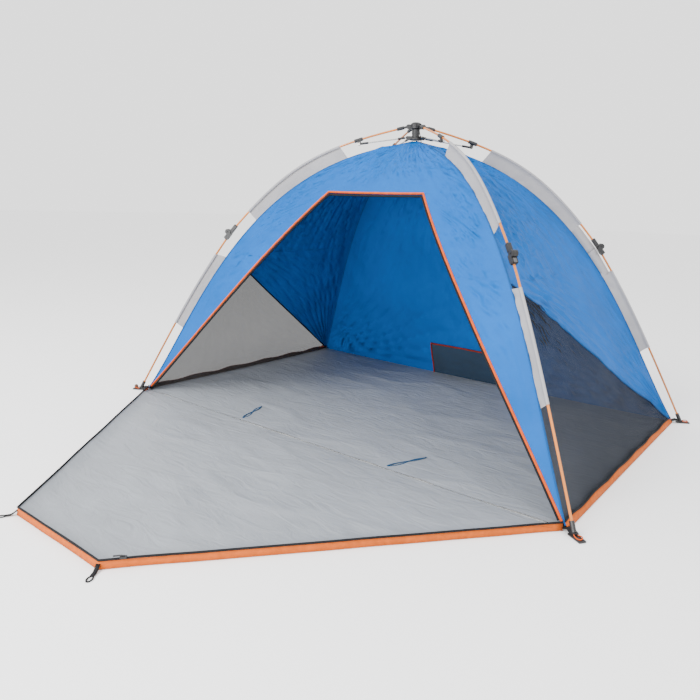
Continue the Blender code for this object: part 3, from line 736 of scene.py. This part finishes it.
def ground_relief(x, y):
    """Low wrinkles of a laid-out ground sheet, from 0 up."""
    broad = noise.noise((x * 2.2, y * 3.5, 1.7))
    fine = noise.noise((x * 7 + 2 * broad, y * 13, 4.2))
    ridge = 1 - abs(noise.noise((x * 3.1, y * 5.3, 8.4))) * 4
    return 0.003 + 0.0028 * broad + 0.0016 * fine + 0.0035 * max(0, ridge)


def make_floor():
    rows, columns = 90, 130
    points = []
    reach = BASE_WIDTH / 2 - FLOOR_HEM
    for y in spread(SILL + 0.002, -SILL - FLOOR_HEM, rows):
        for x in spread(-reach, reach, columns):
            inside = max(0, min(1, (reach - abs(x)) / 0.05, (-SILL - FLOOR_HEM - y) / 0.05))
            hem = 0.0022 * max(0, 1 - 5 * inside)
            points.append((x, y, FLOOR_LEVEL + inside * ground_relief(x, y) + hem))
    floor = mesh_object("floor_cloth", points, grid_faces(rows + 1, columns + 1), GROUND)
    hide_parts("floor_sheet")
    flatten(floor)


# A door tie on the floor: its inner end, its run from there, and how far its strands bow
TIE_START = (0.445, -0.49)
TIE_RUN = (-0.060, -0.170)
TIE_BOW = 0.007
TIE_HALF_WIDTH = 0.0028


def make_ties():
    """Two blue tapes for the rolled-up door, each doubled, crossed over itself and sewn flat to the floor."""
    for hand, sign in (("right", 1), ("left", -1)):
        for strand in (-1, 1):
            first, second = [], []
            for share in spread(0, 1, 24):
                apart = strand * TIE_BOW * math.sin(2 * math.pi * share)
                x = sign * (TIE_START[0] + TIE_RUN[0] * share) + apart
                y = TIE_START[1] + TIE_RUN[1] * share + 0.3 * apart
                level = FLOOR_LEVEL + ground_relief(x, y) + 0.0016 + 0.0010 * strand
                first.append(Vector((x - TIE_HALF_WIDTH, y, level)))
                second.append(Vector((x + TIE_HALF_WIDTH, y, level)))
            tie = ribbon(f"tie_{hand}_{'over' if strand > 0 else 'under'}", first, second, TIE, 0.0009)
            flatten(tie)


# The porch's free edges: how they slant, and how they turn up to the zip
PORCH_SLOPE = (BASE_WIDTH - PORCH_FRONT_WIDTH) / 2 / PORCH_DEPTH
RIM_HEIGHT = 0.0250
RIM_TURN_UP = 0.07
RIM_INSET = 0.0055
RIM_WAVER = 0.0035
PEG_LOOP_SPLAY = 32


def porch_half_width(y):
    return PORCH_FRONT_WIDTH / 2 + (y - PORCH_FRONT) * PORCH_SLOPE - 0.004


def porch_height(x, y):
    """The porch is flat at the sill, wrinkled beyond it, and turns up to the zip along its free edges."""
    slanted = (porch_half_width(y) - abs(x)) * math.cos(math.atan(PORCH_SLOPE))
    edge = min(slanted, y - PORCH_FRONT)
    lift = max(0, 1 - edge / RIM_TURN_UP) ** 2
    settle = max(0, min(1, (SILL - y) / 0.08))
    rise = ground_relief(x, y) * (1 - lift) + (RIM_HEIGHT - 0.004) * lift
    return FLOOR_LEVEL + 0.001 + settle * rise


def make_porch():
    rows, columns = 80, 110
    points = []
    for y in spread(SILL - 0.001, PORCH_FRONT + 0.004, rows):
        half = porch_half_width(y)
        for share in spread(-1, 1, columns):
            x = half * math.sin(share * math.pi / 2)
            points.append((x, y, porch_height(x, y)))
    porch = mesh_object("porch_cloth", points, grid_faces(rows + 1, columns + 1), GROUND)
    porch.data.flip_normals()
    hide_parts("porch_sheet")
    flatten(porch, "porch")
    line = rim_line()
    top = [Vector((p.x, p.y, RIM_HEIGHT)) for p in line]
    foot = [Vector((p.x * 1.004, p.y - 0.004, 0.001)) for p in line]
    rim = ribbon("porch_rim", top, foot, ORANGE_BAND, 0.0012)
    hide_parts("porch_zip_band")
    flatten(rim, "porch")
    teeth = tube("porch_zip", top, PORCH_ZIP_RADIUS, BLACK_TAPE)
    flatten(teeth, "porch")


def rim_line():
    """The porch's free edges, from the sill round both front corners and back to it, with a slight waver."""
    front_half = PORCH_FRONT_WIDTH / 2 - RIM_INSET / 2
    back_half = BASE_WIDTH / 2 - 0.012
    corners = [
        Vector((-back_half, SILL - 0.004, 0)),
        Vector((-front_half, PORCH_FRONT + RIM_INSET, 0)),
        Vector((front_half, PORCH_FRONT + RIM_INSET, 0)),
        Vector((back_half, SILL - 0.004, 0)),
    ]
    line = []
    for k in range(3):
        count = 14 if k == 1 else 44
        along = (corners[k + 1] - corners[k]).normalized()
        across = Vector((along.y, -along.x, 0))
        for step in range(count):
            point = corners[k].lerp(corners[k + 1], step / count)
            ease = min(1, step / 3, (count - step) / 3)
            waver = RIM_WAVER * noise.noise((point.x * 5, point.y * 5, 2.6)) * ease
            line.append(point - across * abs(waver))
    return [*line, corners[3]]


# Corner gear


def strap(name, route, width, body):
    """A flat strap of black webbing along a route of points, level across."""
    first, second = [], []
    for k, point in enumerate(route):
        ahead = (route[min(k + 1, len(route) - 1)] - route[max(k - 1, 0)]).normalized()
        across = ahead.cross(Vector((0, 0, 1)))
        across = across.normalized() if across.length > 0.05 else Vector(SIDEWAYS)
        first.append(point - across * width / 2)
        second.append(point + across * width / 2)
    obj = ribbon(name, first, second, BLACK_TAPE, 0.0014)
    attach(obj, body)
    return obj


# The corner webbing's way from the floor up over the foot, (outward, up)
CORNER_ROUTE = ((1.225, 0.011), (1.250, 0.010), (1.268, 0.016), (1.292, 0.0085))


def make_corner_gear():
    """Webbing from the floor's corners to the feet, with an orange elastic loop at each."""
    for leg in LEGS:
        body = f"lower_{leg}"
        route = [in_leg(leg, *point) for point in CORNER_ROUTE]
        strap(f"corner_strap_{leg}", route, CORNER_WEBBING, body)
        loop = []
        for k in range(13):
            angle = math.radians(-150 + 25 * k)
            outward = 1.304 + 0.016 * math.cos(angle)
            up = 0.009 + 0.002 * math.sin(2 * angle)
            loop.append(in_leg(leg, outward, up, 0.010 * math.sin(angle)))
        obj = tube(f"corner_loop_{leg}", loop, ELASTIC_RADIUS, ORANGE)
        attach(obj, body)


def make_ball_end():
    """The brown ball on the end of the front left foot's elastic."""
    ball = bmesh.new()
    bmesh.ops.create_uvsphere(ball, u_segments=16, v_segments=10, radius=BALL_RADIUS)
    mesh = bpy.data.meshes.new("ball")
    ball.to_mesh(mesh)
    ball.free()
    mesh.materials.append(BROWN)
    mesh.shade_smooth()
    obj = bpy.data.objects.new("ball_end_front_left", mesh)
    bpy.context.scene.collection.objects.link(obj)
    obj.location = in_leg("front_left", 1.312, 0.016, 0)
    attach(obj, "lower_front_left")


def make_peg_loops():
    """A webbing strap with an eye for a peg at each front corner of the porch."""
    for name, sign in (("left", -1), ("right", 1)):
        splay = math.radians(PEG_LOOP_SPLAY)
        away = Vector((sign * math.sin(splay), -math.cos(splay), 0))
        aside = Vector((-away.y, away.x, 0))
        corner = Vector((sign * (PORCH_FRONT_WIDTH / 2 + 0.001), PORCH_FRONT - 0.001, 0))
        first, second = [], []
        for step in range(25):
            turn = math.pi * (step / 12 - 1)
            reach = 0.0385 + 0.0125 * math.cos(turn)
            half = 0.0065 * math.sin(turn)
            centre = corner + away * reach + aside * half
            rim = (away * math.cos(turn) + aside * math.sin(turn)).normalized() * 0.0022
            level = Vector((0, 0, 0.0016))
            first.append(centre - rim + level)
            second.append(centre + rim + level)
        eye = ribbon(f"peg_eye_{name}", first, second, BLACK_TAPE, 0.0016)
        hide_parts(f"peg_loop_{name}")
        route = [
            corner - away * 0.006 + Vector((0, 0, 0.016)),
            corner + away * 0.004 + Vector((0, 0, 0.008)),
            corner + away * 0.014 + Vector((0, 0, 0.0030)),
            corner + away * 0.028 + Vector((0, 0, 0.0022)),
        ]
        root = strap(f"peg_root_{name}", route, PEG_WEBBING, "porch")
        flatten(eye, "porch")
        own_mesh(root)


def make_slider():
    """The zip slider, a copy of the part on a body of its own."""
    slider = bpy.data.objects.new("porch_slider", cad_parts["zip_slider"].data.copy())
    bpy.context.scene.collection.objects.link(slider)
    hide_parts("zip_slider")
    flatten(slider, "slider")


def make_crown_tape():
    """The narrow tape, sewn at both ends, that ties the top of the canopy to the crown."""
    first, second = [], []
    for share in spread(0, 1, 8):
        point = Vector((0.020 + 0.022 * share, -0.006 - 0.004 * share, 1.258 - 0.072 * share))
        first.append(point - Vector((0.0012, 0.0012, 0)))
        second.append(point + Vector((0.0012, 0.0012, 0)))
    obj = ribbon("crown_tape", first, second, BLACK_TAPE, 0.0006)
    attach(obj, "canopy")


# Frame finishes


def dress_frame():
    """The frame's hard pieces keep their shapes and take these finishes."""
    for name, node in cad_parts.items():
        material = BLACK
        if "_pole_" in name:
            material = POLE
        elif name.startswith("brace_strut"):
            material = STEEL
        elif name.startswith("knee_lock"):
            material = GREY
        node.data.materials.clear()
        node.data.materials.append(material)


def make_strut_ends():
    """Black moulded sleeves on both ends of each strut."""
    for leg in LEGS:
        inner = in_leg(leg, *RUNNER_PIVOT, STRUT_SIDE)
        outer = in_leg(leg, *BRACKET_PIVOT, STRUT_SIDE)
        along = (outer - inner).normalized()
        for end, points in (
            ("inner", (inner + along * 0.010, inner + along * 0.041)),
            ("outer", (outer - along * 0.041, outer - along * 0.003)),
        ):
            obj = tube(f"strut_end_{end}_{leg}", points, STRUT_END_RADIUS, BLACK, 12)
            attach(obj, f"strut_{leg}")


# Studio

PAPER_DROP = 0.0006
SKY = 2.0
AIM = Vector((0, 0, 0.4))

# Soft lights, each with its place, its size and its power in watts
LIGHTS = (
    ("key", (-1.2, -4.4, 4.4), 2.6, 330),
    ("fill", (4.5, -2.0, 3.2), 3.5, 60),
    ("doorway", (0.9, -4.6, 1.1), 1.8, 150),
)


def make_studio():
    paper = Finish("studio_paper", (0.95, 0.95, 0.95), 0.95).material
    corners = [(-40, -40, 0), (40, -40, 0), (40, 40, 0), (-40, 40, 0)]
    floor = mesh_object("studio_floor", corners, [(0, 1, 2, 3)], paper)
    floor.location.z = -PAPER_DROP
    world = bpy.data.worlds.new("studio")
    bpy.context.scene.world = world
    world.use_nodes = True
    background = world.node_tree.nodes["Background"]
    background.inputs["Color"].default_value = (1.0, 1.0, 1.0, 1)
    background.inputs["Strength"].default_value = SKY
    for name, place, size, power in LIGHTS:
        light = bpy.data.objects.new(name, bpy.data.lights.new(name, "AREA"))
        bpy.context.scene.collection.objects.link(light)
        light.data.size = size
        light.data.energy = power
        light.location = place
        light.rotation_euler = (AIM - Vector(place)).to_track_quat("-Z", "Y").to_euler()


dress_frame()
make_strut_ends()
make_canopy()
make_door_trim()
make_seams()
make_window_trim()
make_base_bands()
make_sleeves()
make_sleeve_bridges()
make_floor()
make_ties()
make_porch()
make_corner_gear()
make_ball_end()
make_peg_loops()
make_slider()
make_crown_tape()
make_studio()
